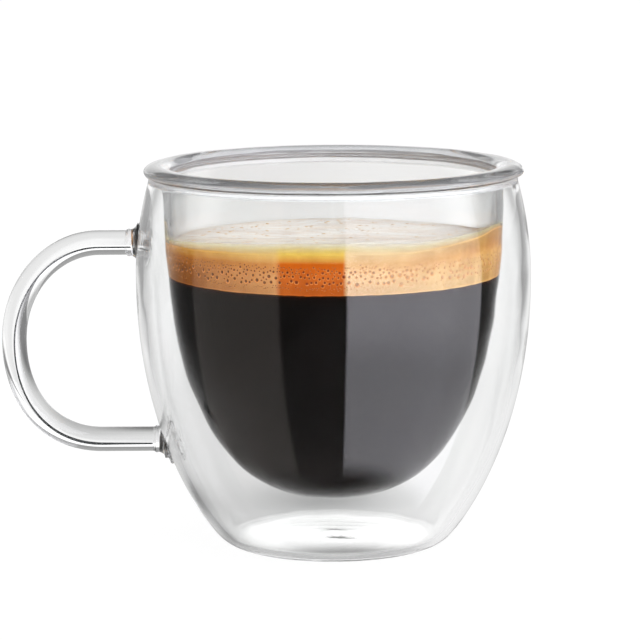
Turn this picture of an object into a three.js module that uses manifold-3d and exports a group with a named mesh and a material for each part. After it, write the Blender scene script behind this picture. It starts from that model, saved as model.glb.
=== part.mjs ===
import * as THREE from 'three';
import { mergeVertices } from 'three/addons/utils/BufferGeometryUtils.js';
import Module from 'manifold-3d';

// Espresso with crema in a double-walled glass cup with a glass handle.
// Millimetres, +Z up. The origin is where the cup's axis meets the surface it stands on.
// The handle is on the -X side, in the plane y = 0.

// Driving dimensions of the glass
const CUP_HEIGHT = 75.7;
const WALL = 1.5;
const FOOT_RADIUS = 21.3;
const FOOT_FLAT_RADIUS = 19.2;
const FOOT_ROUNDING_HEIGHT = 2.4;
const BELLY_RADIUS = 39;
const BELLY_HEIGHT = 53.3;
const BELLY_FULLNESS = 2.12;
const BELLY_ROUNDNESS = 0.815;
const NECK_RADIUS = 36.4;
const NECK_HEIGHT = 72.2;
const RIM_RADIUS = 37.2;
const RIM_BEAD_HEIGHT = 2.7;
const VENT_RADIUS = 2;
const SEAL_TIP_HEIGHT = 1.4;

// Driving dimensions of the inner bowl, taken on the side that faces the outer wall
const BOWL_BOTTOM = 9.55;
const BOWL_RADIUS = 33.45;
const BOWL_TOP = 74.8;
const BOWL_FULLNESS = 2.655;
const BOWL_ROUNDNESS = 0.396;

// Driving dimensions of the handle, a bent rod with both ends welded to the outer wall
const ROD_RADIUS = 2.45;
const HANDLE_TOP = 60.1;
const HANDLE_BOTTOM = 20.6;
const HANDLE_BEND_START = 46.2;
const HANDLE_REACH = 63.4;
const HANDLE_WIDEST_HEIGHT = 40.6;
const UPPER_BEND_FULLNESS = 0.553;
const LOWER_BEND_FULLNESS = 0.6;
const WELD_RADIUS = 3.5;
const WELD_LENGTH = 2.6;
const ROD_END_DEPTH = 2 * WALL;
const WELD_DEPTH = 1.6 * WALL;

// Driving dimensions of the drink
const COFFEE_LEVEL = 54;
const CREMA_LEVEL = 60.6;
const MENISCUS_HEIGHT = 1.6;
const MENISCUS_WIDTH = 3.2;
const MENISCUS_HOLLOW = 2.5;
const CREMA_RELIEF = 0.18;
const FIT_GAP = 0.3;

// Smoothness of the solids
const TURNS = 56;
const FOOT_ROUNDING_STEPS = 4;
const WALL_STEPS = 10;
const SHOULDER_STEPS = 4;
const BOWL_STEPS = 14;
const RIM_STEPS = 5;
const SEAL_STEPS = 6;
const SEAL_SIDES = 16;
const ROD_SIDES = 16;
const ROD_STEPS = 40;
const WELD_STEPS = 5;
const MENISCUS_STEPS = 5;
const CREMA_RINGS = 6;

// A cut runs this far past the face that it opens, and points closer than this are one point.
const OVERSHOOT = 1;
const SAME_POINT = 1e-4;

const wasm = await Module();
wasm.setup();

// Solids

function withoutCollapsedTriangles(geometry) {
  const kept = [];
  const index = geometry.index.array;
  for (let corner = 0; corner < index.length; corner += 3) {
    const [a, b, c] = index.subarray(corner, corner + 3);
    if (a !== b && b !== c && c !== a) kept.push(a, b, c);
  }
  geometry.setIndex(kept);
  return geometry;
}

function closedGeometry(geometry) {
  geometry.deleteAttribute('normal');
  geometry.deleteAttribute('uv');
  return withoutCollapsedTriangles(mergeVertices(geometry, SAME_POINT));
}

function toSolid(geometry) {
  const closed = closedGeometry(geometry);
  return new wasm.Manifold(new wasm.Mesh({
    numProp: 3,
    vertProperties: new Float32Array(closed.attributes.position.array),
    triVerts: new Uint32Array(closed.index.array),
  }));
}

function toGeometry(solid) {
  const mesh = solid.getMesh();
  const geometry = new THREE.BufferGeometry();
  geometry.setAttribute('position', new THREE.BufferAttribute(mesh.vertProperties, 3));
  geometry.setIndex(new THREE.BufferAttribute(mesh.triVerts, 1));
  return geometry;
}

// Turns an outline of (radius, height) points round the Z axis. The outline runs upwards.
function turned(outline, turns = TURNS) {
  return new THREE.LatheGeometry(outline, turns).rotateX(Math.PI / 2);
}

// Outlines of the glass

function swell(fraction, fullness, roundness) {
  return (1 - (1 - fraction) ** fullness) ** roundness;
}

function outerRadius(height) {
  if (height < BELLY_HEIGHT) {
    const rise = swell(height / BELLY_HEIGHT, BELLY_FULLNESS, BELLY_ROUNDNESS);
    return FOOT_RADIUS + (BELLY_RADIUS - FOOT_RADIUS) * rise;
  }
  const aboveBelly = (height - BELLY_HEIGHT) / (NECK_HEIGHT - BELLY_HEIGHT);
  return BELLY_RADIUS - (BELLY_RADIUS - NECK_RADIUS) * aboveBelly ** 2;
}

function bowlRadius(height) {
  const fraction = (height - BOWL_BOTTOM) / (BOWL_TOP - BOWL_BOTTOM);
  return BOWL_RADIUS * swell(fraction, BOWL_FULLNESS, BOWL_ROUNDNESS);
}

// Points between two heights, closer together near the lower one.
function stretch(radiusAt, low, high, count, crowding = 1) {
  return Array.from({ length: count + 1 }, (_, step) => {
    const height = low + (high - low) * (step / count) ** crowding;
    return new THREE.Vector2(radiusAt(height), height);
  });
}

// The foot's rounding leaves the flat smoothly and runs on along the wall's own slope.
function footRounding() {
  const step = 0.01;
  const top = new THREE.Vector2(outerRadius(FOOT_ROUNDING_HEIGHT), FOOT_ROUNDING_HEIGHT);
  const slope = (outerRadius(FOOT_ROUNDING_HEIGHT + step) - top.x) / step;
  const corner = new THREE.Vector2(top.x - slope * FOOT_ROUNDING_HEIGHT, 0);
  const start = new THREE.Vector2(FOOT_FLAT_RADIUS, 0);
  return new THREE.QuadraticBezierCurve(start, corner, top).getPoints(FOOT_ROUNDING_STEPS);
}

function outerWallOutline() {
  return [
    ...footRounding(),
    ...stretch(outerRadius, FOOT_ROUNDING_HEIGHT, BELLY_HEIGHT, WALL_STEPS, 1.2).slice(1),
    ...stretch(outerRadius, BELLY_HEIGHT, NECK_HEIGHT, SHOULDER_STEPS).slice(1),
  ];
}

function bowlOutline() {
  return stretch(bowlRadius, BOWL_BOTTOM, NECK_HEIGHT, BOWL_STEPS, 2);
}

// Moves an outline along its own normals, to the left of the way it runs.
function offset(outline, distance) {
  return outline.map((point, place) => {
    const before = outline[Math.max(place - 1, 0)];
    const after = outline[Math.min(place + 1, outline.length - 1)];
    const along = new THREE.Vector2().subVectors(after, before).normalize();
    const radius = point.x === 0 ? 0 : Math.max(point.x - along.y * distance, 0);
    const height = point.x === 0 ? point.y + distance : point.y + along.x * distance;
    return new THREE.Vector2(radius, height);
  });
}

const bowlInside = offset(bowlOutline(), WALL);
const mouthRadius = bowlInside.at(-1).x;
const rimWidth = RIM_RADIUS - mouthRadius;
const rimCrestRadius = mouthRadius + rimWidth / 2;
const rimCentreHeight = CUP_HEIGHT - RIM_BEAD_HEIGHT / 2;

// One side of the rim bead up to its crest. The angle is where it starts, in radians from its
// widest place, and the side is 1 for the outside and -1 for the mouth.
function rimSide(side, startAngle) {
  return Array.from({ length: RIM_STEPS + 1 }, (_, step) => {
    const angle = startAngle + (Math.PI / 2 - startAngle) * (step / RIM_STEPS);
    return new THREE.Vector2(
      rimCrestRadius + side * (rimWidth / 2) * Math.cos(angle),
      rimCentreHeight + (RIM_BEAD_HEIGHT / 2) * Math.sin(angle),
    );
  });
}

// The glass cup

function outerBody() {
  const underBead = -1;
  const foot = new THREE.Vector2(0, 0);
  const top = new THREE.Vector2(0, CUP_HEIGHT);
  return toSolid(turned([foot, ...outerWallOutline(), ...rimSide(1, underBead), top]));
}

function bowlSpace() {
  const clear = CUP_HEIGHT + OVERSHOOT;
  return toSolid(turned([
    ...bowlInside,
    ...rimSide(-1, 0),
    new THREE.Vector2(rimCrestRadius, clear),
    new THREE.Vector2(0, clear),
  ]));
}

// The air between the walls, with the vent through the foot that the seal closes.
function wallSpace() {
  const insideOuterWall = offset(outerWallOutline(), WALL);
  const outsideBowl = bowlOutline();
  return toSolid(turned([
    new THREE.Vector2(0, -OVERSHOOT),
    new THREE.Vector2(VENT_RADIUS, -OVERSHOOT),
    new THREE.Vector2(VENT_RADIUS, WALL),
    ...insideOuterWall,
    ...outsideBowl.toReversed(),
  ]));
}

function handlePath() {
  const point = (reach, height) => new THREE.Vector3(-reach, 0, height);
  const end = (height) => point(outerRadius(height) - ROD_END_DEPTH, height);
  const top = point(HANDLE_BEND_START, HANDLE_TOP);
  const side = point(HANDLE_REACH, HANDLE_WIDEST_HEIGHT);
  const bottom = point(HANDLE_BEND_START, HANDLE_BOTTOM);
  const bend = HANDLE_REACH - HANDLE_BEND_START;
  const rise = HANDLE_TOP - HANDLE_WIDEST_HEIGHT;
  const fall = HANDLE_WIDEST_HEIGHT - HANDLE_BOTTOM;
  const path = new THREE.CurvePath();
  path.add(new THREE.LineCurve3(end(HANDLE_TOP), top));
  path.add(new THREE.CubicBezierCurve3(
    top,
    point(HANDLE_BEND_START + bend * UPPER_BEND_FULLNESS, HANDLE_TOP),
    point(HANDLE_REACH, HANDLE_WIDEST_HEIGHT + rise * UPPER_BEND_FULLNESS),
    side,
  ));
  path.add(new THREE.CubicBezierCurve3(
    side,
    point(HANDLE_REACH, HANDLE_WIDEST_HEIGHT - fall * LOWER_BEND_FULLNESS),
    point(HANDLE_BEND_START + bend * LOWER_BEND_FULLNESS, HANDLE_BOTTOM),
    bottom,
  ));
  path.add(new THREE.LineCurve3(bottom, end(HANDLE_BOTTOM)));
  return path;
}

function rod() {
  const section = new THREE.Shape().absarc(0, 0, ROD_RADIUS, 0, 2 * Math.PI);
  return toSolid(new THREE.ExtrudeGeometry(section, {
    steps: ROD_STEPS,
    curveSegments: ROD_SIDES / 2,
    extrudePath: handlePath(),
  }));
}

// The glass flares out where a rod's end is melted on to the wall.
function weld(height) {
  const flare = Array.from({ length: WELD_STEPS + 1 }, (_, step) => {
    const fraction = step / WELD_STEPS;
    const radius = ROD_RADIUS + (WELD_RADIUS - ROD_RADIUS) * (1 - fraction) ** 2;
    return new THREE.Vector2(radius, WELD_LENGTH * fraction);
  });
  const outline = [
    new THREE.Vector2(0, -WELD_DEPTH),
    new THREE.Vector2(WELD_RADIUS, -WELD_DEPTH),
    ...flare,
    new THREE.Vector2(0, WELD_LENGTH),
  ];
  const geometry = turned(outline, ROD_SIDES * 2);
  geometry.rotateY(-Math.PI / 2);
  geometry.translate(-outerRadius(height), 0, height);
  return toSolid(geometry);
}

function glassCup() {
  return toGeometry(
    outerBody()
      .add(rod())
      .add(weld(HANDLE_TOP))
      .add(weld(HANDLE_BOTTOM))
      .subtract(wallSpace())
      .subtract(bowlSpace()),
  );
}

// The drop of glass that closes the vent, flush below and pulled to a tip between the walls.
function ventSeal() {
  const radius = VENT_RADIUS - FIT_GAP;
  const tip = Array.from({ length: SEAL_STEPS + 1 }, (_, step) => {
    const angle = (Math.PI / 2) * (step / SEAL_STEPS);
    return new THREE.Vector2(radius * Math.cos(angle), WALL + SEAL_TIP_HEIGHT * Math.sin(angle));
  });
  tip.at(-1).x = 0;
  return closedGeometry(turned([
    new THREE.Vector2(0, 0),
    new THREE.Vector2(radius, 0),
    ...tip,
  ], SEAL_SIDES));
}

// The drink

const drinkOutline = offset(bowlOutline(), WALL + FIT_GAP);

function drinkRadius(height) {
  const above = drinkOutline.findIndex((point) => point.y >= height);
  const low = drinkOutline[above - 1];
  const high = drinkOutline[above];
  return low.x + (high.x - low.x) * (height - low.y) / (high.y - low.y);
}

function espresso() {
  const top = COFFEE_LEVEL - FIT_GAP / 2;
  const clearOfTop = 1;
  return closedGeometry(turned([
    ...drinkOutline.filter((point) => point.y < top - clearOfTop),
    new THREE.Vector2(drinkRadius(top), top),
    new THREE.Vector2(0, top),
  ]));
}

// Low swells in the foam, about 20 mm apart with smaller ones between, fading towards the glass.
function cremaRelief(x, y) {
  const broad = Math.sin(0.31 * x + 1.1) * Math.cos(0.27 * y - 0.6);
  const fine = 0.5 * Math.sin(0.52 * (x + y));
  const outwards = Math.hypot(x, y) / drinkRadius(CREMA_LEVEL);
  return CREMA_RELIEF * (broad + fine) * Math.max(1 - outwards ** 4, 0);
}

function crema() {
  const bottom = COFFEE_LEVEL + FIT_GAP / 2;
  const edgeHeight = CREMA_LEVEL + MENISCUS_HEIGHT;
  const edgeRadius = drinkRadius(edgeHeight);
  const meniscus = Array.from({ length: MENISCUS_STEPS + 1 }, (_, step) => {
    const inwards = step / MENISCUS_STEPS;
    return new THREE.Vector2(
      edgeRadius - MENISCUS_WIDTH * inwards,
      CREMA_LEVEL + MENISCUS_HEIGHT * (1 - inwards) ** MENISCUS_HOLLOW,
    );
  });
  const innerEdge = edgeRadius - MENISCUS_WIDTH;
  const surface = Array.from({ length: CREMA_RINGS }, (_, ring) => (
    new THREE.Vector2(innerEdge * (1 - (ring + 1) / CREMA_RINGS), CREMA_LEVEL)
  ));
  const geometry = closedGeometry(turned([
    new THREE.Vector2(0, bottom),
    new THREE.Vector2(drinkRadius(bottom), bottom),
    new THREE.Vector2(drinkRadius(CREMA_LEVEL), CREMA_LEVEL),
    ...meniscus,
    ...surface,
  ]));
  const position = geometry.attributes.position;
  const middle = (bottom + CREMA_LEVEL) / 2;
  for (let vertex = 0; vertex < position.count; vertex += 1) {
    const height = position.getZ(vertex);
    const relief = cremaRelief(position.getX(vertex), position.getY(vertex));
    if (height > middle) position.setZ(vertex, height + relief);
  }
  return geometry;
}

// Materials

const clearGlass = () => new THREE.MeshStandardMaterial({
  color: 0xf2f5f4, roughness: 0.03, metalness: 0, transparent: true, opacity: 0.3,
});
const blackCoffee = () => new THREE.MeshStandardMaterial({
  color: 0x160c07, roughness: 0.12, metalness: 0,
});
const hazelFoam = () => new THREE.MeshStandardMaterial({
  color: 0xc97a2e, roughness: 0.55, metalness: 0,
});

function part(name, geometry, material) {
  geometry.computeVertexNormals();
  const mesh = new THREE.Mesh(geometry, material);
  mesh.name = name;
  return mesh;
}

const espressoInGlass = new THREE.Group();
espressoInGlass.add(
  part('glass_cup', glassCup(), clearGlass()),
  part('vent_seal', ventSeal(), clearGlass()),
  part('espresso', espresso(), blackCoffee()),
  part('crema', crema(), hazelFoam()),
);

export default espressoInGlass;
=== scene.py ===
import math
import random

import bmesh
import bpy
from mathutils import Matrix, Vector, noise


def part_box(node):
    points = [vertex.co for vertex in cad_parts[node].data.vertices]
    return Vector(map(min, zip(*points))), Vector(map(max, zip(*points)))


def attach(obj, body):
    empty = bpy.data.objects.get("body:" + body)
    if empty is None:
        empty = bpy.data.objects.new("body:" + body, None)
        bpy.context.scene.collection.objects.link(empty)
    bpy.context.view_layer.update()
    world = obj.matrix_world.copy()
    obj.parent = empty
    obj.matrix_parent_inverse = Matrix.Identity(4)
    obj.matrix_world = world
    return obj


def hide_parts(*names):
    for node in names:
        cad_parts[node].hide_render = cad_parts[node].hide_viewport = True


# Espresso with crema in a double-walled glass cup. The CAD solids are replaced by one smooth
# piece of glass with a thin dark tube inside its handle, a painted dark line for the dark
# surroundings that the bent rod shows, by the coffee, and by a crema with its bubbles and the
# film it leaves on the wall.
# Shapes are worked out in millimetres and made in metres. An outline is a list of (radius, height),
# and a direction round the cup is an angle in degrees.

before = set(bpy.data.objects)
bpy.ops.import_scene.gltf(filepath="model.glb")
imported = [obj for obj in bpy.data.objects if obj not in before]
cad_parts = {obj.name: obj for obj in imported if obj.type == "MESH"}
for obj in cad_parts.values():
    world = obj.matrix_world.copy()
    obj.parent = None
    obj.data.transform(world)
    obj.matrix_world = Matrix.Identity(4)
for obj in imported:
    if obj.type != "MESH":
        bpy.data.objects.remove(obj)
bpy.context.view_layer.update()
MM = 0.001

# Sizes of the glass
glass_low, glass_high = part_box("glass_cup")
CUP_HEIGHT = glass_high.z / MM
BELLY_RADIUS = glass_high.y / MM
WALL = 1.5
FOOT_RADIUS = 21.3
FOOT_FLAT_RADIUS = 19.2
FOOT_ROUNDING_HEIGHT = 2.4
FOOT_HOLLOW = 0.22
FOOT_HOLLOW_RADIUS = FOOT_FLAT_RADIUS - 1
BELLY_HEIGHT = 53.3
BELLY_FULLNESS = 2.12
BELLY_ROUNDNESS = 0.815
NECK_RADIUS = 36.4
NECK_HEIGHT = 72.2
RIM_RADIUS = 37.2
RIM_BEAD_HEIGHT = 2.7
BOWL_BOTTOM = 9.55
BOWL_RADIUS = 33.45
BOWL_TOP = 74.8
BOWL_FULLNESS = 2.655
BOWL_ROUNDNESS = 0.396
AIR_TOP = 74.3
AIR_CAP_HEIGHT = 0.6
AIR_CAP_BASE = AIR_TOP - AIR_CAP_HEIGHT
SWIRL_X = 1.2
SWIRL_Y = -4.2
RIM_LUMP_ANGLE = -9
SMALL_LUMP_ANGLE = 4

# Sizes of the handle
ROD_RADIUS = 2.45
HANDLE_TOP = 60.1
HANDLE_BOTTOM = 20.6
HANDLE_BEND_START = 46.2
HANDLE_REACH = -glass_low.x / MM - ROD_RADIUS
HANDLE_WIDEST_HEIGHT = 40.6
UPPER_BEND_FULLNESS = 0.553
LOWER_BEND_FULLNESS = 0.6
ROD_END_DEPTH = 1.7 * WALL
PAINTED_LINE_DROP = 0.66
WELD_RADIUS = 3.9
WELD_LENGTH = 2.4
WELD_DEPTH = 1.5 * WALL
WELD_MARK_RADIUS = 2.9
LUMP_WIDTH = 2.4
LUMP_HEIGHT = 2.6

# Sizes of the drink. The film starts FILM_OVERLAP below the crema's edge, which it reaches at
# FILM_EDGE, a part of its own width.
INTO_WALL = 0.12
COFFEE_LEVEL = 54.0
CREMA_LEVEL = 60.6
CREMA_RADIUS = 32
CREMA_MM_PER_DEGREE = 0.56
FILM_OVERLAP = 0.35
FILM_EDGE = 0.12

# Steps round the axis
TURNS = 224
CREMA_TURNS = 448


# Outlines

def swell(fraction, fullness, roundness):
    return (1 - (1 - fraction) ** fullness) ** roundness


def outer_radius(height):
    if height < BELLY_HEIGHT:
        rise = swell(height / BELLY_HEIGHT, BELLY_FULLNESS, BELLY_ROUNDNESS)
        return FOOT_RADIUS + (BELLY_RADIUS - FOOT_RADIUS) * rise
    above_belly = (height - BELLY_HEIGHT) / (NECK_HEIGHT - BELLY_HEIGHT)
    return BELLY_RADIUS - (BELLY_RADIUS - NECK_RADIUS) * above_belly ** 2


def bowl_radius(height):
    fraction = (height - BOWL_BOTTOM) / (BOWL_TOP - BOWL_BOTTOM)
    return BOWL_RADIUS * swell(fraction, BOWL_FULLNESS, BOWL_ROUNDNESS)


def stretch(radius_at, low, high, count, crowding=1.0):
    """Points between two heights, closer together near the lower one."""
    heights = [low + (high - low) * (step / count) ** crowding for step in range(count + 1)]
    return [(radius_at(height), height) for height in heights]


def offset(outline, distance):
    """The outline moved along its own normals, to the left of the way it runs."""
    moved = []
    for place, (radius, height) in enumerate(outline):
        before = outline[max(place - 1, 0)]
        after = outline[min(place + 1, len(outline) - 1)]
        along = (Vector(after) - Vector(before)).normalized()
        if radius == 0:
            moved.append((0.0, height + distance))
        else:
            moved.append((max(radius - along.y * distance, 0.0), height + along.x * distance))
    return moved


def arc(centre, across, up, start, end, count):
    """Points on an ellipse between two angles."""
    points = []
    for step in range(count + 1):
        angle = math.radians(start + (end - start) * step / count)
        points.append((centre[0] + across * math.cos(angle), centre[1] + up * math.sin(angle)))
    return points


def foot_rounding(count=12):
    """A curve from the flat of the foot that runs smoothly into the outer wall."""
    step = 0.01
    top = Vector((outer_radius(FOOT_ROUNDING_HEIGHT), FOOT_ROUNDING_HEIGHT))
    slope = (outer_radius(FOOT_ROUNDING_HEIGHT + step) - top.x) / step
    corner = Vector((top.x - slope * FOOT_ROUNDING_HEIGHT, 0))
    start = Vector((FOOT_FLAT_RADIUS, 0))
    points = []
    for place in range(count + 1):
        t = place / count
        points.append(tuple(start * (1 - t) ** 2 + corner * 2 * t * (1 - t) + top * t ** 2))
    return points


def outer_wall(top):
    return (foot_rounding()
            + stretch(outer_radius, FOOT_ROUNDING_HEIGHT, BELLY_HEIGHT, 46, 1.2)[1:]
            + stretch(outer_radius, BELLY_HEIGHT, top, 20)[1:])


BOWL_OUTSIDE = stretch(bowl_radius, BOWL_BOTTOM, NECK_HEIGHT, 70, 2.0)
BOWL_INSIDE = offset(BOWL_OUTSIDE, WALL)
MOUTH_RADIUS = BOWL_INSIDE[-1][0]


def inside_radius(height):
    """Radius of the wall that touches the drink."""
    for low, high in zip(BOWL_INSIDE, BOWL_INSIDE[1:]):
        if low[1] <= height <= high[1]:
            part = (height - low[1]) / (high[1] - low[1])
            return low[0] + (high[0] - low[0]) * part
    return MOUTH_RADIUS


# Uneven shapes

def gauss(distance, width):
    return math.exp(-(distance / width) ** 2)


def wave(point, size, seed):
    """Smooth noise between about -1 and 1 that varies over the given size."""
    return noise.noise(point / size + Vector((seed, 2.3 * seed, 0.7 * seed)))


def from_axis(point):
    return math.hypot(point.x, point.y)


def azimuth(point):
    return math.degrees(math.atan2(point.y, point.x))


def towards(angle):
    """The level direction at an angle, one unit long."""
    turn = math.radians(angle)
    return Vector((math.cos(turn), math.sin(turn), 0))


def from_front(angle):
    """The angle counted from the front, positive towards +X."""
    return (angle + 90 + 180) % 360 - 180


def pushed(point, amount):
    """The point moved away from the cup's axis."""
    out = Vector((point.x, point.y, 0))
    return point + out.normalized() * amount if out.length > 1e-6 else point


# Meshes

def new_object(name, vertices, faces, smooth=True):
    mesh = bpy.data.meshes.new(name)
    mesh.from_pydata([tuple(c * MM for c in v) for v in vertices], [], faces)
    mesh.validate()
    mesh.update()
    if smooth:
        mesh.shade_smooth()
    piece = bpy.data.objects.new(name, mesh)
    bpy.context.scene.collection.objects.link(piece)
    return piece


def lathe(name, outline, turns=TURNS, shape=None):
    """A closed turned body. The outline starts and ends on the axis; shape(point) moves a point."""
    vertices, rings = [], []
    for radius, height in outline:
        count = 1 if radius < 1e-6 else turns
        rings.append([len(vertices) + step for step in range(count)])
        for step in range(count):
            angle = 2 * math.pi * step / turns
            point = Vector((radius * math.cos(angle), radius * math.sin(angle), height))
            vertices.append(shape(point) if shape else point)
    faces = []
    for low, high in zip(rings, rings[1:]):
        for step in range(turns):
            after = (step + 1) % turns
            if len(low) == 1:
                faces.append((low[0], high[after], high[step]))
            elif len(high) == 1:
                faces.append((low[step], low[after], high[0]))
            else:
                faces.append((low[step], low[after], high[after], high[step]))
    return new_object(name, vertices, faces)


def joined_rings(first, sides, rings):
    """Faces between neighbouring rings of vertices, starting at the vertex numbered first."""
    faces = []
    for low in range(first, first + (rings - 1) * sides, sides):
        for step in range(sides):
            after = (step + 1) % sides
            faces.append((low + step, low + after, low + sides + after, low + sides + step))
    return faces


def tube(name, path, radius_at, sides):
    """A closed tube along a path that lies in the plane of the handle."""
    vertices = []
    for place, centre in enumerate(path):
        before = path[max(place - 1, 0)]
        after = path[min(place + 1, len(path) - 1)]
        along = (after - before).normalized()
        side = Vector((0, 1, 0))
        up = along.cross(side)
        for step in range(sides):
            angle = 2 * math.pi * step / sides
            vertices.append(centre + (side * math.cos(angle) + up * math.sin(angle)) * radius_at(centre))
    faces = joined_rings(0, sides, len(path))
    last = (len(path) - 1) * sides
    faces.append(tuple(range(sides))[::-1])
    faces.append(tuple(last + step for step in range(sides)))
    return new_object(name, vertices, faces)


def blob(vertices, faces, centre, out, width, depth, sides=10, rings=3):
    """Adds a shallow dome at centre, bulging along out, closed at its back by its own edge."""
    side = out.cross(Vector((0, 0, 1)))
    side = side.normalized() if side.length > 0.1 else Vector((1, 0, 0))
    up = out.cross(side)
    first = len(vertices)
    for ring in range(rings):
        tilt = math.pi / 2 * ring / rings
        for step in range(sides):
            angle = 2 * math.pi * step / sides
            flat = (side * math.cos(angle) + up * math.sin(angle)) * width * math.cos(tilt)
            vertices.append(centre + flat + out * depth * math.sin(tilt))
    vertices.append(centre + out * depth)
    vertices.append(centre - out * depth * 0.5)
    tip, back = len(vertices) - 2, len(vertices) - 1
    faces += joined_rings(first, sides, rings)
    last = first + (rings - 1) * sides
    for step in range(sides):
        after = (step + 1) % sides
        faces.append((last + step, last + after, tip))
        faces.append((first + after, first + step, back))


def outward(piece):
    """Turns every loose shell of the piece so that its faces point out."""
    shape = bmesh.new()
    shape.from_mesh(piece.data)
    bmesh.ops.recalc_face_normals(shape, faces=shape.faces)
    shape.to_mesh(piece.data)
    shape.free()
    return piece


def boolean(piece, other, operation):
    modifier = piece.modifiers.new(operation.lower(), "BOOLEAN")
    modifier.operation = operation
    modifier.solver = "MANIFOLD"
    modifier.object = other
    bpy.context.view_layer.objects.active = piece
    bpy.ops.object.modifier_apply(modifier=modifier.name)
    bpy.data.objects.remove(other)


def store(piece, name, values):
    """Keeps one number for each vertex, for the piece's material to read."""
    attribute = piece.data.attributes.new(name, "FLOAT", "POINT")
    attribute.data.foreach_set("value", values)


# The glass cup

def foot_hollow(radius):
    """The foot's underside is a little hollow, with a dimple round its seal."""
    rise = 0.5 * (1 + math.cos(math.pi * min(radius / FOOT_HOLLOW_RADIUS, 1)))
    return FOOT_HOLLOW * rise + 0.03 * gauss(radius - 2.2, 1.1)


def skin_shape(point):
    """Slight unevenness of the blown wall, and the lump where the rim was closed."""
    bead = gauss(point.z - (CUP_HEIGHT - RIM_BEAD_HEIGHT / 2), 2.2)
    turned = azimuth(point)
    lump = gauss(turned - RIM_LUMP_ANGLE, 3.2) + 0.6 * gauss(turned - SMALL_LUMP_ANGLE, 2.0)
    low_wave = 0.035 * wave(point, 16, 1.0)
    moved = pushed(point, bead * (0.45 * lump + 0.1 * wave(point, 6, 5.0)) + low_wave)
    if point.z > CUP_HEIGHT - 2 * RIM_BEAD_HEIGHT:
        moved.z = min(moved.z + 0.12 * bead * wave(point, 9, 3.0), CUP_HEIGHT)
    if point.z < 0.5 and from_axis(point) < FOOT_HOLLOW_RADIUS:
        moved.z += foot_hollow(from_axis(point))
    return moved


def air_shape(point):
    """The wall's inner faces: waves, the weld marks behind the handle, and the seal's swirl."""
    radius = from_axis(point)
    moved = pushed(point, 0.05 * wave(point, 13, 9.0) + 0.02 * wave(point, 5, 4.0))
    if point.x < 0 and radius > outer_radius(point.z) - WALL - 0.3:
        for height in (HANDLE_TOP, HANDLE_BOTTOM):
            across = math.hypot(point.y, point.z - height)
            ring = gauss(across - WELD_MARK_RADIUS, 0.7)
            moved = pushed(moved, -0.7 * ring - 0.25 * gauss(across, 2.4))
    if point.z < 2 * WALL and radius < FOOT_RADIUS:
        swirl = Vector((0.62 * (point.x - SWIRL_X), 1.25 * (point.y - SWIRL_Y), 0))
        swirl.y += 0.3 * math.sin(0.9 * swirl.x)
        turn = math.atan2(swirl.y, swirl.x)
        reach = swirl.length
        moved.z += 0.6 * gauss(reach, 1.2) - 0.38 * gauss(reach - 0.4, 0.6)
        moved.z += 0.008 * math.sin(1.25 * reach + 0.9 * turn) * math.exp(-reach / 7)
        moved.z += 0.012 * wave(point, 6, 2.0)
    return moved


def rim_bead():
    """The bead where both walls meet, from below its outer side over the crest to the mouth."""
    width = RIM_RADIUS - MOUTH_RADIUS
    centre = (MOUTH_RADIUS + width / 2, CUP_HEIGHT - RIM_BEAD_HEIGHT / 2)
    return arc(centre, width / 2, RIM_BEAD_HEIGHT / 2, -52, 180, 34)


def glass_skin():
    foot_rings = (0.0, 0.5, 1, 1.5, 2, 2.5, 3, 3.6, 4.5, 6, 8, 10, 12, 14, 16, 17.5)
    foot = [(radius, 0.0) for radius in foot_rings]
    outline = foot + outer_wall(NECK_HEIGHT) + rim_bead() + BOWL_INSIDE[::-1]
    return lathe("glass_body", outline, shape=skin_shape)


def air_between_walls():
    """The sealed space: over the floor, up the outer wall, round at the top, down the bowl."""
    floor = [(0.5 * step, WALL) for step in range(37)]
    outside = offset(outer_wall(AIR_CAP_BASE), WALL)[2:]
    inside = [point for point in BOWL_OUTSIDE if point[1] < AIR_CAP_BASE]
    middle = (outside[-1][0] + inside[-1][0]) / 2
    half = (outside[-1][0] - inside[-1][0]) / 2
    cap = arc((middle, outside[-1][1]), half, AIR_CAP_HEIGHT, 12, 168, 8)
    return lathe("air", floor + outside + cap + inside[::-1], shape=air_shape)


def handle_path():
    """The rod's middle line, from inside the wall at the top weld round to the lower one."""
    def point(reach, height):
        return Vector((-reach, 0, height))

    def bezier(a, b, c, d, count):
        for step in range(1, count + 1):
            t = step / count
            yield a * (1 - t) ** 3 + b * 3 * t * (1 - t) ** 2 + c * 3 * t ** 2 * (1 - t) + d * t ** 3

    top = point(HANDLE_BEND_START, HANDLE_TOP)
    side = point(HANDLE_REACH, HANDLE_WIDEST_HEIGHT)
    bottom = point(HANDLE_BEND_START, HANDLE_BOTTOM)
    bend = HANDLE_REACH - HANDLE_BEND_START
    rise = HANDLE_TOP - HANDLE_WIDEST_HEIGHT
    fall = HANDLE_WIDEST_HEIGHT - HANDLE_BOTTOM
    upper, lower = UPPER_BEND_FULLNESS, LOWER_BEND_FULLNESS
    start = point(outer_radius(HANDLE_TOP) - ROD_END_DEPTH, HANDLE_TOP)
    end = point(outer_radius(HANDLE_BOTTOM) - ROD_END_DEPTH, HANDLE_BOTTOM)
    path = [start + (top - start) * step / 8 for step in range(9)]
    path += bezier(top, point(HANDLE_BEND_START + bend * upper, HANDLE_TOP),
                   point(HANDLE_REACH, HANDLE_WIDEST_HEIGHT + rise * upper), side, 34)
    path += bezier(side, point(HANDLE_REACH, HANDLE_WIDEST_HEIGHT - fall * lower),
                   point(HANDLE_BEND_START + bend * lower, HANDLE_BOTTOM), bottom, 34)
    path += [bottom + (end - bottom) * step / 12 for step in range(1, 13)]
    return path


def rod():
    """The bent rod, slightly uneven in thickness."""
    def thickness(place):
        return ROD_RADIUS * (1 + 0.02 * wave(place, 12, 6.0))

    return tube("rod", handle_path(), thickness, 40)


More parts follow.
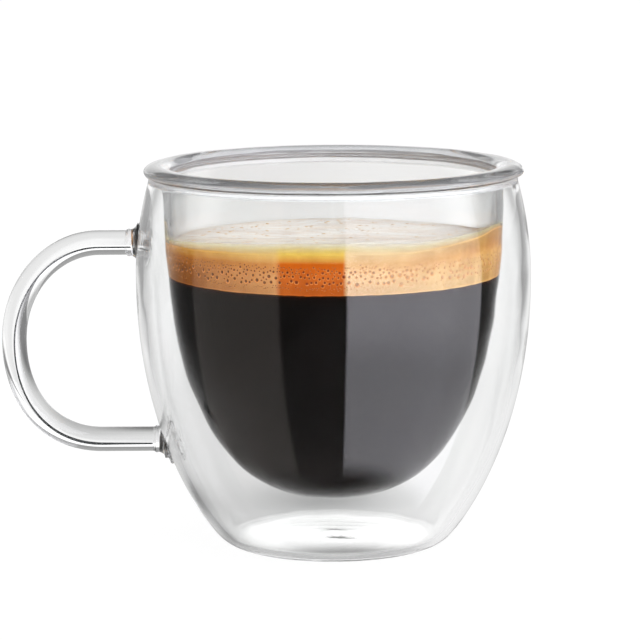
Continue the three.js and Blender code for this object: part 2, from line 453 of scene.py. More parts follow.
def make_dark_line_tube():
    """A thin dark tube along inside the rod, a little below its middle: a painted dark line for
    the dark surroundings that the bent rod shows.
    """
    def thickness(place):
        low_bend = gauss(place.z - HANDLE_BOTTOM - 4, 9) * gauss(place.x + HANDLE_BEND_START + 4, 9)
        return 0.11 + 0.09 * low_bend + 0.02 * wave(place, 5, 8.0)

    path = [place + Vector((0, 0, -PAINTED_LINE_DROP)) for place in handle_path()[3:-4]]
    return tube("rod_painted_dark_line", path, thickness, 8)


def weld(height):
    """The flared foot of melted glass round a rod's end, with a ring round it near its thin end."""
    count = 22
    flare = []
    for step in range(count + 1):
        out = WELD_LENGTH * step / count
        near_wall = 1 - out / WELD_LENGTH
        fillet = (WELD_RADIUS - ROD_RADIUS) * (1 - math.sqrt(max(1 - near_wall ** 2, 0)))
        ring = 0.3 * gauss(out - 1.7, 0.35) * (1 - 0.5 * near_wall)
        flare.append((ROD_RADIUS * 0.99 + fillet + ring, out))
    outline = [(0.0, -WELD_DEPTH), (WELD_RADIUS, -WELD_DEPTH)] + flare + [(0.0, WELD_LENGTH + 0.2)]
    piece = lathe("weld", outline, 56)
    piece.data.transform(Matrix.Rotation(-math.pi / 2, 4, "Y"))
    piece.data.transform(Matrix.Translation((-outer_radius(height) * MM, 0, height * MM)))
    return piece


def weld_lump():
    """The crinkled lump of melted glass on the wall under the lower weld."""
    def crinkled(point):
        return point * (1 + 0.2 * wave(point, 1.0, 3.0) + 0.1 * wave(point, 0.5, 7.0))

    outline = arc((0, 0), LUMP_WIDTH, LUMP_HEIGHT, -85, 85, 26)
    piece = lathe("lump", [(0.0, -LUMP_HEIGHT)] + outline + [(0.0, LUMP_HEIGHT)], 48, crinkled)
    height = HANDLE_BOTTOM - 2.4
    piece.data.transform(Matrix.Diagonal((0.32, 1.0, 1.0, 1.0)))
    piece.data.transform(Matrix.Translation(((0.5 - outer_radius(height)) * MM, 0, height * MM)))
    return piece


# The order of the glass's materials: the outside below the rim, the sealed side of the walls, that
# side of the bowl where the drink is behind it, the rim's outer side, and the side of its mouth
SKIN, SEALED, WETTED, RIM_SIDE, MOUTH_SIDE = range(5)


def skin_material(place):
    crest = (RIM_RADIUS + MOUTH_RADIUS) / 2
    if place.z <= NECK_HEIGHT + 0.2:
        return SKIN
    return RIM_SIDE if from_axis(place) > crest - 0.4 else MOUTH_SIDE


def air_material(place):
    """The top of the sealed space, which is inside the rim, looks as the mouth's side does."""
    if place.z > AIR_CAP_BASE:
        return MOUTH_SIDE
    outside_bowl = from_axis(place) >= bowl_radius(max(place.z, BOWL_BOTTOM)) + 0.5
    if outside_bowl or place.z <= BOWL_BOTTOM - 0.3 or place.z >= CREMA_LEVEL:
        return SEALED
    return WETTED


def make_glass(*materials):
    """One body of glass: the skin, fused with the handle and its welds, less the sealed space."""
    glass = glass_skin()
    for part in (rod(), weld(HANDLE_TOP), weld(HANDLE_BOTTOM), weld_lump()):
        boolean(glass, part, "UNION")
    air = air_between_walls()
    for piece, material_at in ((glass, skin_material), (air, air_material)):
        piece.data.materials.clear()
        for material in materials:
            piece.data.materials.append(material)
        for face in piece.data.polygons:
            face.material_index = material_at(face.center / MM)
    boolean(glass, air, "DIFFERENCE")
    glass.data.shade_smooth()
    return glass


# The drink

def drink_side(low, high, count):
    heights = [low + (high - low) * step / count for step in range(count + 1)]
    return [(inside_radius(height) + INTO_WALL, height) for height in heights]


def wall_point(angle, height, outside):
    """The place on the wall round the drink, moved outwards."""
    return towards(angle) * (inside_radius(height) + outside) + Vector((0, 0, height))


def make_coffee():
    bottom = [point for point in offset(BOWL_INSIDE, -INTO_WALL) if point[1] < COFFEE_LEVEL - 2]
    side = drink_side(bottom[-1][1] + 0.6, COFFEE_LEVEL, 6)
    top = [(side[-1][0] * part, COFFEE_LEVEL) for part in (0.9, 0.6, 0.3, 0.0)]
    return lathe("coffee", bottom + side + top)


def climb(angle):
    """How far the crema stands up the wall above its level. It is highest at the right."""
    turned = from_front(angle)
    unevenness = 0.05 + 0.15 * gauss(turned, 70) + 0.2 * gauss(turned - 66, 30)
    return (0.06 + 1.35 * gauss(turned + 5, 60) + 3.2 * gauss(turned - 74, 30)
            + wave(towards(angle) * CREMA_RADIUS, 8, 4.0) * unevenness)


def film_height(angle):
    """How far the film reaches above the crema's edge."""
    uneven = 0.2 * wave(towards(angle) * CREMA_RADIUS, 12, 6.0)
    return 0.6 + 2.5 * gauss(from_front(angle) + 10, 80) + uneven


def crema_shape(point):
    """The side follows the wall up to an uneven edge, and the top rises to that edge."""
    radius = from_axis(point)
    inward = max(inside_radius(CREMA_LEVEL) + INTO_WALL - radius, 0)
    on_top = point.z > CREMA_LEVEL - 0.001
    moved = point.copy()
    if inward < 0.001 or inward < 0.5 and not on_top:
        part = (point.z - COFFEE_LEVEL) / (CREMA_LEVEL - COFFEE_LEVEL)
        moved.z += max(part, 0) * climb(azimuth(point)) + 0.07 * (1 - part) * wave(point, 3.5, 2.0)
        uneven = 0.03 * wave(point, 1.2, 5.0) + 0.02 * wave(point, 0.5, 6.0)
        moved = pushed(moved, inside_radius(moved.z) + INTO_WALL + uneven - radius)
    elif on_top:
        edge = math.exp(-inward / 1.1)
        moved.z += climb(azimuth(point)) * edge
        moved.z += (1 - edge) * (0.16 * wave(point, 9, 3.0) + 0.06 * wave(point, 2.5, 7.0))
    return moved


def make_crema(side_material, top_material):
    bottom = [(0.0, COFFEE_LEVEL - 0.06), (15.0, COFFEE_LEVEL - 0.06)]
    side = drink_side(COFFEE_LEVEL - 0.05, CREMA_LEVEL, 26)
    edge = side[-1][0]
    rings = 64
    top = [(edge * (1 - (step / rings) ** 1.4), CREMA_LEVEL) for step in range(1, rings + 1)]
    crema = lathe("crema_foam", bottom + side + top, CREMA_TURNS, crema_shape)
    crema.data.materials.append(side_material)
    crema.data.materials.append(top_material)
    first_on_top = (len(bottom + side) - 1) * CREMA_TURNS
    for face in crema.data.polygons:
        face.material_index = 1 if face.index >= first_on_top else 0
    rises = []
    for vertex in crema.data.vertices:
        level = vertex.co.z / MM - COFFEE_LEVEL
        rises.append(level / (CREMA_LEVEL + climb(azimuth(vertex.co)) - COFFEE_LEVEL))
    store(crema, "rise", rises)
    return crema


def make_film():
    """The thin film that the crema has left on the wall, from a little below its edge upwards."""
    rows = 20
    parts = [row / rows for row in range(rows + 1)]
    # One layer lies within the wall, and the other is thickest where it meets the crema
    layers = [(part, INTO_WALL + 0.07) for part in parts]
    layers += [(part, -0.06 - 0.3 * (1 - part) ** 2) for part in reversed(parts)]
    vertices, faces, fade, strength = [], [], [], []
    for step in range(CREMA_TURNS):
        angle = 360 * step / CREMA_TURNS
        edge = CREMA_LEVEL + climb(angle)
        reach = film_height(angle)
        for part, outside in layers:
            over_crema = part <= FILM_EDGE
            if over_crema:
                height = edge - (1 - part / FILM_EDGE) * FILM_OVERLAP
            else:
                height = edge + (part - FILM_EDGE) / (1 - FILM_EDGE) * reach
            vertices.append(wall_point(angle, height, outside))
            fade.append(part)
            solid = over_crema and abs(from_front(angle)) < 100
            outer = 1.0 if solid else gauss(from_front(angle), 90)
            strength.append(outer if outside > 0 else 0.0)
    around = len(layers)
    for step in range(CREMA_TURNS):
        here, there = step * around, (step + 1) % CREMA_TURNS * around
        for place in range(around):
            after = (place + 1) % around
            faces.append((here + place, there + place, there + after, here + after))
    film = new_object("crema_film", vertices, faces)
    store(film, "fade", fade)
    store(film, "strength", strength)
    return film


# Rows of bubbles that show through the wall, each by (height, radius, tries)
BUBBLE_ROWS = ((56.4, 0.42, 1800), (57.4, 0.4, 2200), (58.3, 0.3, 2600), (59.1, 0.2, 1600),
               (55.4, 0.15, 900))


def side_bubbles():
    """Places of these bubbles, each as (angle, height, radius)."""
    draw = random.Random(7)
    placed = []

    def crowded(angle, height, radius):
        for other_angle, other_height, other_radius in placed:
            apart = ((other_angle - angle + 180) % 360 - 180) * CREMA_MM_PER_DEGREE
            if math.hypot(apart, other_height - height) < (other_radius + radius) * 1.18:
                return True
        return False

    for level, size, tries in BUBBLE_ROWS:
        for _ in range(tries):
            angle = draw.uniform(0, 360)
            spread = 0.3 + 0.5 * noise.noise(Vector((math.radians(angle) * 1.7, level / 4, 4.0)))
            density = max(spread, gauss(from_front(angle) + 15, 40))
            if draw.random() > density:
                continue
            height = level + draw.gauss(0, 0.2)
            radius = size * draw.uniform(0.5, 1.15)
            below_edge = height + radius <= CREMA_LEVEL + climb(angle) - 0.15
            if below_edge and not crowded(angle, height, radius):
                placed.append((angle, height, radius))
    return placed


def make_side_bubbles():
    """Dark hollows, each in a paler ring."""
    dark_vertices, dark_faces, rim_vertices, rim_faces = [], [], [], []
    draw = random.Random(11)
    for angle, height, radius in side_bubbles():
        out = towards(angle)
        base = wall_point(angle, height, INTO_WALL - 0.02)
        blob(rim_vertices, rim_faces, base, out, radius * draw.uniform(1.08, 1.2), 0.05)
        blob(dark_vertices, dark_faces, base, out, radius * 0.85, 0.12)
    dark = outward(new_object("crema_bubbles", dark_vertices, dark_faces))
    rims = outward(new_object("crema_bubble_rims", rim_vertices, rim_faces))
    return dark, rims


def make_top_bubbles():
    """Fine bubbles on the crema's top, many of them along the wall, but none at the back wall."""
    draw = random.Random(23)
    vertices, faces = [], []
    edge = inside_radius(CREMA_LEVEL)
    up = Vector((0, 0, 1))
    for _ in range(1500):
        if draw.random() < 0.4:
            inward = abs(draw.gauss(0, 1.5)) + 0.8
        else:
            inward = edge * (1 - math.sqrt(draw.random()))
        turn = draw.uniform(0, 2 * math.pi)
        if inward < 2.5 and math.sin(turn) > 0:
            continue
        radius = max(edge - inward, 0)
        surface = crema_shape(Vector((radius * math.cos(turn), radius * math.sin(turn), CREMA_LEVEL)))
        size = draw.uniform(0.1, 0.24) if draw.random() < 0.85 else draw.uniform(0.24, 0.5)
        blob(vertices, faces, surface - up * 0.02, up, size, size * 0.25, 8, 2)
    return outward(new_object("crema_top_bubbles", vertices, faces))


# Materials

BLACK = (0.0, 0.0, 0.0, 1.0)
WHITE = (1.0, 1.0, 1.0, 1.0)


def grey(value):
    return (value, value, value, 1.0)


def srgb(red, green, blue):
    """Linear colour from 0 to 255 screen values."""
    def linear(value):
        value /= 255
        return value / 12.92 if value <= 0.04045 else ((value + 0.055) / 1.055) ** 2.4
    return (linear(red), linear(green), linear(blue), 1.0)


def result(node):
    """The output that holds what a node works out, the third on Mix and Attribute nodes."""
    return node.outputs[2 if node.bl_idname in ("ShaderNodeMix", "ShaderNodeAttribute") else 0]


class Nodes:
    """Short names for building one material's nodes."""

    def __init__(self, name, **values):
        """The values are set on the shader, with _ for a space in a socket's name."""
        self.material = bpy.data.materials.new(name)
        self.material.use_nodes = True
        self.tree = self.material.node_tree
        self.tree.nodes.clear()
        self.link = self.tree.links.new
        self.shader = self.add("ShaderNodeBsdfPrincipled")
        for socket, value in values.items():
            self.shader.inputs[socket.replace("_", " ")].default_value = value
        output = self.add("ShaderNodeOutputMaterial")
        self.link(self.shader.outputs["BSDF"], output.inputs["Surface"])
        self.place = self.add("ShaderNodeTexCoord").outputs["Object"]

    def add(self, kind, **settings):
        node = self.tree.nodes.new(kind)
        for key, value in settings.items():
            setattr(node, key, value)
        return node

    def drive(self, socket, node):
        """Lets a node set one of the shader's values."""
        self.link(result(node), self.shader.inputs[socket])

    def noise(self, scale, detail=3.0, roughness=0.55, squash=None, distortion=0.0):
        texture = self.add("ShaderNodeTexNoise")
        texture.inputs["Scale"].default_value = scale
        texture.inputs["Detail"].default_value = detail
        texture.inputs["Roughness"].default_value = roughness
        texture.inputs["Distortion"].default_value = distortion
        place = self.place
        if squash:
            mapping = self.add("ShaderNodeMapping")
            mapping.inputs["Scale"].default_value = squash
            self.link(place, mapping.inputs["Vector"])
            place = mapping.outputs["Vector"]
        self.link(place, texture.inputs["Vector"])
        return texture

    def cells(self, scale):
        """The distance to the edges of irregular cells."""
        texture = self.add("ShaderNodeTexVoronoi", feature="DISTANCE_TO_EDGE")
        texture.inputs["Scale"].default_value = scale
        self.link(self.place, texture.inputs["Vector"])
        return texture

    def axis(self, name, low, high):
        """0 to 1 along one axis between two places in millimetres."""
        split = self.add("ShaderNodeSeparateXYZ")
        self.link(self.place, split.inputs["Vector"])
        spread = self.add("ShaderNodeMapRange")
        spread.inputs["From Min"].default_value = low * MM
        spread.inputs["From Max"].default_value = high * MM
        self.link(split.outputs[name], spread.inputs["Value"])
        return spread

    def across(self):
        """0 to 1 from the crema's left side to its right side, with a little to spare."""
        return self.axis("X", -33, 33)

    def stored(self, name):
        return self.add("ShaderNodeAttribute", attribute_name=name)

    def ramp(self, source, *stops):
        """A colour for each value of the source, by stops of (value, colour)."""
        ramp = self.add("ShaderNodeValToRGB")
        elements = ramp.color_ramp.elements
        while len(elements) < len(stops):
            elements.new(0.5)
        for element, (position, colour) in zip(elements, stops):
            element.position = position
            element.color = colour
        self.link(result(source), ramp.inputs["Fac"])
        return ramp

    def mix(self, factor, first, second, blend="MIX"):
        mix = self.add("ShaderNodeMix", data_type="RGBA", blend_type=blend)
        sockets = (mix.inputs["Factor"], mix.inputs[6], mix.inputs[7])
        for socket, value in zip(sockets, (factor, first, second)):
            if isinstance(value, (float, tuple)):
                socket.default_value = value
            else:
                self.link(result(value), socket)
        return mix

    def times(self, first, second):
        return self.mix(1.0, first, second, "MULTIPLY")

    def bump(self, source, strength, distance):
        bump = self.add("ShaderNodeBump")
        bump.inputs["Strength"].default_value = strength
        bump.inputs["Distance"].default_value = distance * MM
        self.link(result(source), bump.inputs["Height"])
        self.drive("Normal", bump)


def clear_glass(name, mirror, bend=1.47):
    """Glass whose faces mirror by a share of what bare glass does."""
    nodes = Nodes(name, Roughness=0.0, IOR=bend, Specular_Tint=grey(mirror), Transmission_Weight=1.0)
    nodes.drive("Base Color", nodes.ramp(nodes.noise(60, 2.0), (0.3, (0.99, 0.997, 0.994, 1)),
                                         (0.7, WHITE)))
    nodes.bump(nodes.noise(220, 1.0, squash=(1, 1, 0.35)), 0.05, 0.05)
    return nodes.material


# Painted shade on the rim: how light it is from its lower edge to its crest, for the dark
# surroundings that the bead bends into view. Its outer side is darkest along a line a little
# above its lower edge, and along the crest, and the mouth's side darkens towards the crest.
RIM_PAINTED_SHADE = ((0.0, 0.85), (0.14, 0.8), (0.2, 0.07), (0.29, 0.08), (0.36, 0.6), (0.6, 0.45),
             (0.84, 0.26), (0.93, 0.16), (1.0, 0.11))
MOUTH_PAINTED_SHADE = ((0.0, 0.95), (0.4, 0.92), (0.85, 0.85), (0.95, 0.6), (1.0, 0.4))


def rim_glass(name, painted_shade_steps):
    """The fire-polished rim, made greyer than the walls by painted shade."""
    nodes = Nodes(name, Roughness=0.02, IOR=1.47, Specular_Tint=grey(0.4), Transmission_Weight=0.75)
    height = nodes.axis("Z", CUP_HEIGHT - RIM_BEAD_HEIGHT, CUP_HEIGHT)
    # Painted shade: the rim's colour is darkened in bands along its height.
    shade = nodes.ramp(height, *[(part, (0.97 * light, 0.985 * light, light, 1))
                                 for part, light in painted_shade_steps])
    cloud = nodes.ramp(nodes.noise(60, 2.0), (0.3, grey(0.9)), (0.7, WHITE))
    nodes.drive("Base Color", nodes.times(shade, cloud))
    nodes.bump(nodes.noise(220, 1.0), 0.05, 0.05)
    return nodes.material


def black_coffee():
    """Nearly black, with a warm glow just under the crema."""
    nodes = Nodes("black_coffee", Roughness=0.15, IOR=1.34, Specular_IOR_Level=0.0)
    deep = nodes.ramp(nodes.noise(90, 4.0), (0.35, srgb(9, 7, 6)), (0.7, srgb(13, 9, 8)))
    glow = nodes.axis("Z", COFFEE_LEVEL - 2.6, COFFEE_LEVEL)
    warm = nodes.ramp(glow, (0.0, srgb(9, 7, 7)), (0.75, srgb(20, 10, 6)), (1.0, srgb(52, 22, 8)))
    nodes.drive("Base Color", nodes.mix(glow, deep, warm))
    return nodes.material


# Where the colour of the crema's side changes in front, as parts of its width: it is painted
# pale where the left and right soft boxes shine on it, and keeps its own orange between them
LEFT_BOX_LIGHT_END = 0.337
ORANGE_START = 0.352
ORANGE_END = 0.527
RIGHT_BOX_LIGHT_START = 0.537


def crema_edge(nodes):
    """Colour where the crema thins out at its upper edge, painted paler where the soft boxes shine on
    it.
    """
    return nodes.ramp(nodes.across(), (0.0, srgb(190, 130, 50)), (0.1, srgb(216, 164, 80)),
                      (LEFT_BOX_LIGHT_END, srgb(246, 214, 134)), (ORANGE_START, srgb(250, 218, 110)),
                      (ORANGE_END, srgb(250, 218, 110)), (RIGHT_BOX_LIGHT_START, srgb(250, 226, 176)),
                      (0.8, srgb(242, 208, 150)), (0.93, srgb(250, 208, 138)), (1.0, srgb(254, 186, 80)))


def crema_side():
    """The foam against the wall. In front, painted light and shade from the soft boxes lie over its own
    orange: it is browner to the left, pale where the boxes shine and yellower to the right. It is plain
    hazel behind."""
    nodes = Nodes("crema_side", Roughness=0.6, IOR=1.35, Specular_IOR_Level=0.0)
    across = nodes.across()
    low = nodes.ramp(across, (0.0, srgb(118, 64, 22)), (0.1, srgb(146, 90, 42)),
                     (0.17, srgb(190, 134, 82)), (LEFT_BOX_LIGHT_END, srgb(206, 152, 98)),
                     (ORANGE_START, srgb(196, 102, 40)), (ORANGE_END, srgb(198, 102, 40)),
                     (RIGHT_BOX_LIGHT_START, srgb(224, 188, 142)), (0.92, srgb(226, 192, 130)),
                     (1.0, srgb(230, 176, 100)))
    high = nodes.ramp(across, (0.0, srgb(128, 74, 28)), (0.1, srgb(172, 112, 52)),
                      (LEFT_BOX_LIGHT_END, srgb(208, 146, 80)), (ORANGE_START, srgb(200, 98, 24)),
                      (ORANGE_END, srgb(202, 100, 26)), (RIGHT_BOX_LIGHT_START, srgb(224, 182, 128)),
                      (0.8, srgb(216, 168, 108)), (0.92, srgb(236, 186, 112)), (1.0, srgb(240, 164, 68)))
    rise = nodes.stored("rise")
    upper = nodes.ramp(rise, (0.5, BLACK), (0.68, WHITE))
    edge = nodes.ramp(rise, (0.74, BLACK), (0.98, WHITE))
    # Painted light and shade of the soft boxes over the crema's own colours, in front only
    front_with_box_light = nodes.mix(edge, nodes.mix(upper, low, high), crema_edge(nodes))
    behind = nodes.ramp(nodes.axis("Y", -14, 4), (0.0, BLACK), (1.0, WHITE))
    body = nodes.mix(behind, front_with_box_light, srgb(204, 154, 94))
    shade = nodes.ramp(rise, (0.0, srgb(255, 250, 244)), (0.05, srgb(228, 226, 224)),
                       (0.3, srgb(242, 241, 240)), (0.6, WHITE))
    patches = nodes.ramp(nodes.noise(130, 4.0, squash=(1, 1, 1.8)), (0.3, srgb(232, 222, 212)),
                         (0.65, WHITE))
    streaks = nodes.ramp(nodes.noise(420, 3.0, squash=(1, 1, 0.1)), (0.38, srgb(222, 202, 178)),
                         (0.6, WHITE))
    at_ends = nodes.ramp(across, (0.03, grey(0.9)), (0.16, grey(0.25)), (0.75, grey(0.25)),
                         (0.93, grey(0.6)))
    run_down = nodes.mix(at_ends, WHITE, streaks)
    patchy = nodes.times(nodes.times(body, shade), patches)
    nodes.drive("Base Color", nodes.times(patchy, run_down))
    nodes.bump(nodes.cells(2600), 0.2, 0.1)
    return nodes.material


def crema_top():
    """The foam's wet top, hazel with paler swirls and fine cells."""
    nodes = Nodes("crema_top", IOR=1.35, Coat_Weight=1.0, Coat_Roughness=0.12, Coat_IOR=1.5,
                  Sheen_Weight=1.0, Sheen_Roughness=0.3, Sheen_Tint=(0.93, 1.0, 1.0, 1.0))
    swirls = nodes.noise(75, 5.0, 0.6, distortion=1.2)
    body = nodes.ramp(swirls, (0.3, srgb(176, 134, 84)), (0.5, srgb(198, 158, 106)),
                      (0.72, srgb(222, 188, 140)))
    cells = nodes.cells(1700)
    edges = nodes.ramp(cells, (0.0, srgb(255, 240, 220)), (0.2, srgb(246, 242, 238)))
    nodes.drive("Base Color", nodes.times(body, edges))
    rough = nodes.add("ShaderNodeMapRange")
    rough.inputs["To Min"].default_value = 0.4
    rough.inputs["To Max"].default_value = 0.65
    nodes.link(result(swirls), rough.inputs["Value"])
    nodes.drive("Roughness", rough)
    nodes.bump(cells, 0.25, 0.1)
    return nodes.material


def crema_film():
    """The film on the wall thins from the crema's edge colour through yellow to clear, with a
    faint line on top. It is painted paler where the right soft box shines on it."""
    nodes = Nodes("crema_film", Roughness=0.5, IOR=1.35, Specular_IOR_Level=0.0)
    fade = nodes.stored("fade")
    thin = nodes.ramp(fade, (0.3, srgb(252, 234, 140)), (0.5, srgb(255, 244, 170)),
                      (0.78, srgb(253, 246, 214)), (0.93, srgb(214, 190, 168)))
    leaving = nodes.ramp(fade, (FILM_EDGE, BLACK), (0.5, WHITE))
    body = nodes.mix(leaving, crema_edge(nodes), thin)
    # Painted light: the film is paler where the right soft box shines on it.
    right_box_mask = nodes.ramp(nodes.across(), (0.53, BLACK), (0.58, grey(0.5)), (0.8, grey(0.4)),
                          (0.92, BLACK))
    paler = nodes.mix(nodes.times(leaving, right_box_mask), body, srgb(255, 244, 224))
    streaks = nodes.noise(420, 3.0, squash=(1, 1, 0.2))
    shade = nodes.ramp(streaks, (0.3, srgb(246, 240, 230)), (0.65, WHITE))
    nodes.drive("Base Color", nodes.times(paler, shade))
    cover = nodes.ramp(fade, (0.0, WHITE), (FILM_EDGE, WHITE), (0.4, grey(0.72)), (0.7, grey(0.24)),
                       (0.9, grey(0.06)), (0.95, grey(0.14)), (1.0, BLACK))
    nodes.drive("Alpha", nodes.times(cover, nodes.stored("strength")))
    nodes.bump(streaks, 0.1, 0.05)
    return nodes.material


def bubble_dark():
    """The bubbles' hollows against the wall, painted fainter where the soft boxes shine on the foam."""
    nodes = Nodes("bubble_dark", Roughness=0.3, IOR=1.34)
    body = nodes.ramp(nodes.across(), (0.1, srgb(110, 62, 24)), (0.34, srgb(124, 70, 34)),
                      (0.36, srgb(128, 50, 10)), (0.53, srgb(134, 54, 12)), (0.55, srgb(176, 124, 76)),
                      (0.8, srgb(204, 154, 98)))
    grain = nodes.noise(700, 2.0)
    cloud = nodes.ramp(grain, (0.35, srgb(214, 208, 200)), (0.7, WHITE))
    nodes.drive("Base Color", nodes.times(body, cloud))
    nodes.bump(grain, 0.1, 0.05)
    return nodes.material


def speckle(name, dark, light, roughness):
    nodes = Nodes(name, Roughness=roughness, IOR=1.34)
    grain = nodes.noise(700, 2.0)
    nodes.drive("Base Color", nodes.ramp(grain, (0.35, dark), (0.7, light)))
    nodes.bump(grain, 0.1, 0.05)
    return nodes.material


# Sums in the nodes of the studio

class Value:
    """A number that nodes work out. Sums with it are written as with plain numbers."""

    def __init__(self, tree, output):
        self.tree = tree
        self.output = output

    def __add__(self, other):
        return calculate("ADD", self, other)

    def __sub__(self, other):
        return calculate("SUBTRACT", self, other)

    def __rsub__(self, other):
        return calculate("SUBTRACT", other, self)

    def __mul__(self, other):
        return calculate("MULTIPLY", self, other)

    def __truediv__(self, other):
        return calculate("DIVIDE", self, other)

    def ease(self, start, end, first=0.0, last=1.0):
        """Goes smoothly from first to last while this value goes from start to end."""
        node = self.tree.nodes.new("ShaderNodeMapRange")
        node.interpolation_type = "SMOOTHSTEP"
        for socket, setting in zip(node.inputs[1:5], (start, end, first, last)):
            socket.default_value = setting
        self.tree.links.new(self.output, node.inputs["Value"])
        return Value(self.tree, node.outputs["Result"])

    def band(self, low, high, soft):
        """1 between two values and 0 outside them, with soft edges."""
        return self.ease(low - soft, low + soft) * self.ease(high + soft, high - soft)


def calculate(operation, first, second=0.0):
    """One step of a sum, in which the first or the second number is a Value, or both are."""
    tree = first.tree if isinstance(first, Value) else second.tree
    node = tree.nodes.new("ShaderNodeMath")
    node.operation = operation
    for socket, number in zip(node.inputs, (first, second)):
        if isinstance(number, Value):
            tree.links.new(number.output, socket)
        else:
            socket.default_value = number
    return Value(tree, node.outputs[0])


def coordinates(tree, kind):
    place = tree.nodes.new("ShaderNodeTexCoord")
    split = tree.nodes.new("ShaderNodeSeparateXYZ")
    tree.links.new(place.outputs[kind], split.inputs["Vector"])
    return [Value(tree, output) for output in split.outputs]


def spot(x, y, centre, width):
    """1 at a place on the floor, falling smoothly to 0 over the given widths."""
    sideways = (x - centre[0]) / width[0]
    deep = (y - centre[1]) / width[1]
    return calculate("POWER", math.e, (sideways * sideways + deep * deep) * -1.0)


# Studio and camera

def make_world():
    """White low down behind, a grey ceiling, and a large soft box in front to each side."""
    world = bpy.data.worlds.new("studio")
    bpy.context.scene.world = world
    world.use_nodes = True
    tree = world.node_tree
    x, y, z = coordinates(tree, "Generated")

    # Angles in degrees: turn is 0 in front and positive to the right, rise is positive upwards
    degrees = 180 / math.pi
    turn = calculate("ARCTAN2", x, y * -1.0) * degrees
    rise = calculate("ARCSINE", z) * degrees
    away = calculate("ABSOLUTE", turn)

    back = away.band(104, 190, 6)
    straight_back = away.band(152, 190, 12)
    horizon = rise.band(0, 17, 3) * (back * 0.5 + straight_back * 0.75)
    ceiling = rise.band(17, 66, 6) * 0.35
    top = rise.band(66, 100, 6) * 0.6
    behind = back * rise.band(-100, 0, 3) * 0.6
    low_down = rise.band(-100, 17, 3) * 0.04
    white = horizon + ceiling + top + behind + low_down

    below, above = rise.band(-50, -2, 4), rise.band(-2, 58, 4)
    just_below = rise.band(-17, 2, 6)
    right_box = turn.band(7.3, 94, 1.2) * turn.ease(60, 92, 1.0, 0.72)
    right_box = right_box * (below * 3.1 + just_below * 1.4 + above * 2.0)
    left_box = turn.band(-88, -31, 1.5) * (below * 0.55 + above * 0.5)
    colour = tree.nodes.new("ShaderNodeCombineColor")
    for channel, cool, warm in (("Red", 0.98, 1.05), ("Green", 0.97, 0.98), ("Blue", 1.05, 0.92)):
        light = white + right_box * cool + left_box * warm
        tree.links.new(light.output, colour.inputs[channel])
    tree.links.new(colour.outputs["Color"], tree.nodes["Background"].inputs["Color"])


def floor_plane(name, height, material):
    reach = 20 / MM
    corners = [(x, y, height) for x, y in ((-reach, -reach), (reach, -reach), (reach, reach),
                                           (-reach, reach))]
    plane = new_object(name, corners, [(0, 1, 2, 3)], smooth=False)
    plane.data.materials.append(material)
    plane.visible_glossy = False
    return plane


def glowing(name, glow):
    """A nearly black material that gives off its own white. Returns its nodes and strength too."""
    material = bpy.data.materials.new(name)
    material.use_nodes = True
    tree = material.node_tree
    tree.nodes.clear()
    diffuse = tree.nodes.new("ShaderNodeBsdfDiffuse")
    diffuse.inputs["Color"].default_value = grey(0.06)
    emission = tree.nodes.new("ShaderNodeEmission")
    emission.inputs["Strength"].default_value = glow
    both = tree.nodes.new("ShaderNodeAddShader")
    output = tree.nodes.new("ShaderNodeOutputMaterial")
    link = tree.links.new
    link(diffuse.outputs[0], both.inputs[0])
    link(emission.outputs[0], both.inputs[1])
    link(both.outputs[0], output.inputs["Surface"])
    return material, tree, emission.inputs["Strength"]


def make_floor():
    """The white floor that is seen directly, past the glass."""
    material, _, _ = glowing("floor_white", 0.97)
    floor = floor_plane("floor", -0.2, material)
    floor.visible_transmission = False
    floor.visible_diffuse = False


# Greyer places of the bright field, each by (centre, width, amount) with lengths in metres: under
# the front of the foot, under the handle, twice beside the foot on its left, and along its front
FIELD_SHADOWS = (((0.002, -0.013), (0.014, 0.0052), 0.85),
                 ((-0.062, 0.012), (0.026, 0.04), 0.42),
                 ((-0.037, 0.012), (0.01, 0.018), 0.7),
                 ((-0.026, -0.01), (0.009, 0.01), 0.75),
                 ((0.0, -0.0195), (0.028, 0.0035), 0.3))
DRINK_SHADOW_CENTRE = (-0.002, 0.036)
DRINK_SHADOW_WIDTH = (0.016, 0.022)
FOOT_EDGE = (0.0165, 0.0205)
FAN_START = 0.6
DRINK_LIGHT = 4.1


def make_bright_field():
    """What the glass bends into view: a bright field that fans out from a point FAN_START in
    front of the cup. It is grey beyond the fan, so that the edges of clear glass stand out, and
    where the cup stands and the drink keeps the light off. What falls from it on the drink is
    brighter by DRINK_LIGHT."""
    material, tree, strength = glowing("floor_behind_glass", 0.5)
    x, y, _ = coordinates(tree, "Object")
    slant = calculate("ABSOLUTE", x) / calculate("MAXIMUM", y + FAN_START, 0.05)
    reach = calculate("SQRT", x * x + y * y)
    near = x.ease(-0.03, 0.03, 0.76, 0.91)
    beyond = y.ease(0.06, 0.3) * x.ease(-0.03, 0.03, 0.04, -0.04)
    glow = slant.ease(0.05, 0.09, 0.0, 0.2) * y.ease(0.1, 0.22)
    field = (near + beyond + glow) * slant.ease(0.11, 0.23, 1.0, 0.2)
    under_foot = reach.ease(*FOOT_EDGE, 0.38, 0.0)
    dimmed = spot(x, y, DRINK_SHADOW_CENTRE, DRINK_SHADOW_WIDTH) * reach.ease(*FOOT_EDGE) * 0.5
    for centre, width, amount in FIELD_SHADOWS:
        dimmed = dimmed + spot(x, y, centre, width) * amount
    open_part = calculate("MAXIMUM", 1.0 - dimmed, 0.1)
    path = tree.nodes.new("ShaderNodeLightPath")
    on_drink = calculate("GREATER_THAN", Value(tree, path.outputs["Diffuse Depth"]), 0.5)
    light = (field + under_foot) * open_part + on_drink * DRINK_LIGHT
    tree.links.new(light.output, strength)
    floor = floor_plane("floor_behind_glass", -0.4, material)
    floor.visible_camera = False


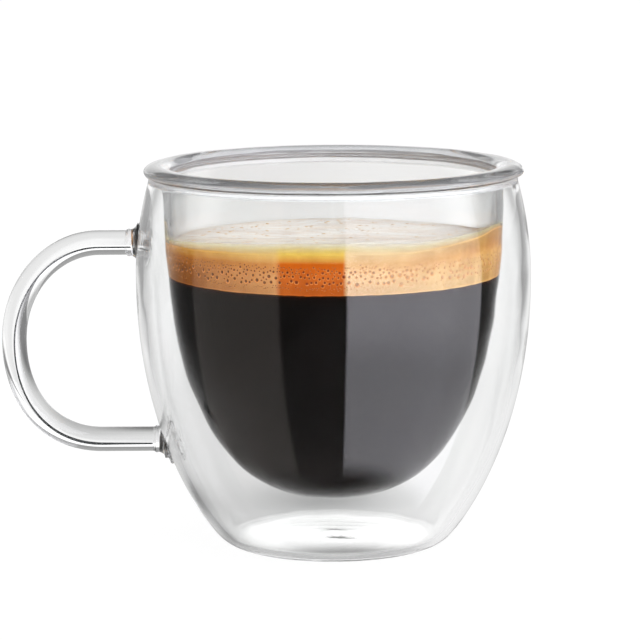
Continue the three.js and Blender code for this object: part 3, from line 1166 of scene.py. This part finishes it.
def make_overhead_light():
    """A large soft box over the cup that lights the crema and doesn't show in the glass."""
    lamp = bpy.data.lights.new("overhead", "AREA")
    lamp.shape = "DISK"
    lamp.size = 0.7
    lamp.energy = 2.2
    light = bpy.data.objects.new("overhead", lamp)
    light.location = (0.0, 0.0, 0.8)
    light.visible_glossy = False
    light.visible_transmission = False
    light.visible_camera = False
    bpy.context.scene.collection.objects.link(light)


# The camera's place in metres and angles in radians
CAMERA_PLACE = (0, -0.6, 0.1401)
CAMERA_PITCH = 0.1582
CAMERA_YAW = -0.0045
CAMERA_ROLL = -0.0059


def make_camera():
    camera = bpy.data.cameras.new("camera")
    camera.sensor_fit = "HORIZONTAL"
    camera.sensor_width = 36
    camera.lens = 172.42
    camera.clip_start = 0.01
    camera.clip_end = 100
    flat = math.cos(CAMERA_PITCH)
    forward = Vector((math.sin(CAMERA_YAW) * flat, math.cos(CAMERA_YAW) * flat,
                      -math.sin(CAMERA_PITCH)))
    level = Vector((math.cos(CAMERA_YAW), -math.sin(CAMERA_YAW), 0))
    upright = level.cross(forward)
    right = level * math.cos(CAMERA_ROLL) + upright * math.sin(CAMERA_ROLL)
    up = upright * math.cos(CAMERA_ROLL) - level * math.sin(CAMERA_ROLL)
    place = Matrix((right, up, -forward)).transposed().to_4x4()
    place.translation = Vector(CAMERA_PLACE)
    holder = bpy.data.objects.new("camera", camera)
    holder.matrix_world = place
    bpy.context.scene.collection.objects.link(holder)
    bpy.context.scene.camera = holder


def set_rendering():
    """Light crosses many walls of glass. The sampling pattern keeps a maze-like grain out of the
    soft box that the coffee's wall mirrors."""
    scene = bpy.context.scene
    scene.view_settings.view_transform = "Standard"
    scene.cycles.max_bounces = 64
    scene.cycles.transmission_bounces = 64
    scene.cycles.glossy_bounces = 64
    scene.cycles.diffuse_bounces = 4
    scene.cycles.sampling_pattern = "TABULATED_SOBOL"


def finish_piece(piece, material, slot, *nodes):
    if material:
        piece.data.materials.append(material)
    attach(piece, "root")
    if nodes:
        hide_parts(*nodes)


make_camera()
set_rendering()
make_world()
make_floor()
make_bright_field()
make_overhead_light()

glass = make_glass(clear_glass("clear_glass", 1.0), clear_glass("clear_glass_inner", 0.12),
                   clear_glass("clear_glass_wetted", 0.1, bend=1.12),
                   rim_glass("clear_glass_rim", RIM_PAINTED_SHADE),
                   rim_glass("clear_glass_mouth", MOUTH_PAINTED_SHADE))
finish_piece(glass, None, "clear_glass", "glass_cup", "vent_seal")
# The rod's dark line is painted: a dark material for the dark surroundings that the bent rod shows.
streak = speckle("streak", srgb(52, 54, 55), srgb(74, 76, 77), 0.3)
finish_piece(make_dark_line_tube(), streak, "clear_glass")
finish_piece(make_coffee(), black_coffee(), "black_coffee", "espresso")
finish_piece(make_crema(crema_side(), crema_top()), None, "crema_foam", "crema")
finish_piece(make_film(), crema_film(), "crema_foam")
bubbles, bubble_rims = make_side_bubbles()
finish_piece(bubbles, bubble_dark(), "crema_foam")
rim_foam = speckle("bubble_rim", srgb(214, 132, 50), srgb(226, 148, 70), 0.5)
finish_piece(bubble_rims, rim_foam, "crema_foam")
top_foam = speckle("bubble_top", srgb(200, 160, 108), srgb(230, 198, 154), 0.15)
finish_piece(make_top_bubbles(), top_foam, "crema_foam")
